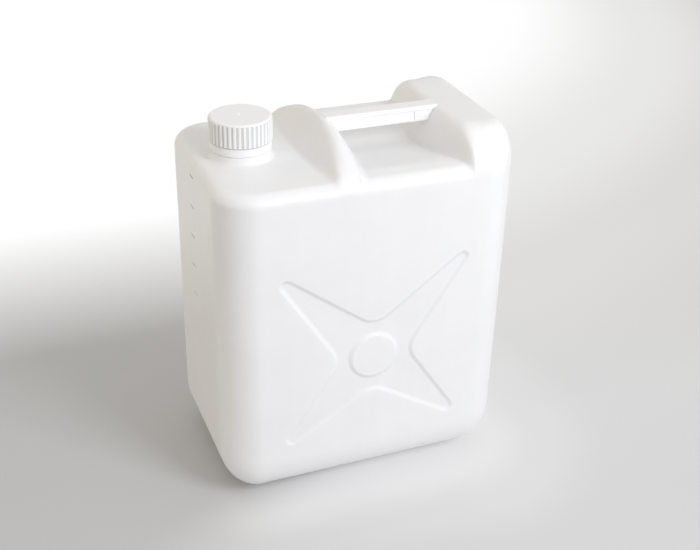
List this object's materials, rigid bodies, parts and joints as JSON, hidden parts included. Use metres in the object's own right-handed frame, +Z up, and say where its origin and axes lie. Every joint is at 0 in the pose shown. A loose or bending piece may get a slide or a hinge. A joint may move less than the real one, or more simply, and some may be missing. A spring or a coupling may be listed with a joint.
{
  "type": "flat plastic canister with handle and screw cap",
  "caption": "Flat rectangular canister in milky plastic with a star-shaped panel recess, a carrying handle and a ribbed white screw cap.",
  "frame": {"origin": "middle of the base on the floor", "axes": "+X along the width from the neck towards the shoulder, +Y from the front panel to the back panel, +Z up"},
  "size_m": [0.244, 0.162, 0.3134],
  "materials": {
    "milky_plastic": "translucent natural polyethylene, satin",
    "white_plastic": "opaque white, smooth",
    "foam_liner": "foamed liner disc"
  },
  "bodies": {
    "can": {"body": "milky_plastic", "handle": "white_plastic", "tamper_band": "white_plastic"},
    "cap_seat": {"cap_liner": "foam_liner"},
    "cap": {"screw_cap": "white_plastic"}
  },
  "joints": [
    {"name": "cap_lift", "type": "slide", "parent": "can", "child": "cap_seat", "axis": [0, 0, 1], "range_m": [0, 0.0201]},
    {"name": "cap_turn", "type": "hinge", "parent": "cap_seat", "child": "cap", "pos_m": [-0.0825, 0, 0.3], "axis": [0, 0, 1], "range_deg": [0, 1800]}
  ],
  "couplings": [
    {"joint": "cap_lift", "follows": "cap_turn", "m_per_rad": 0.00063662}
  ]
}
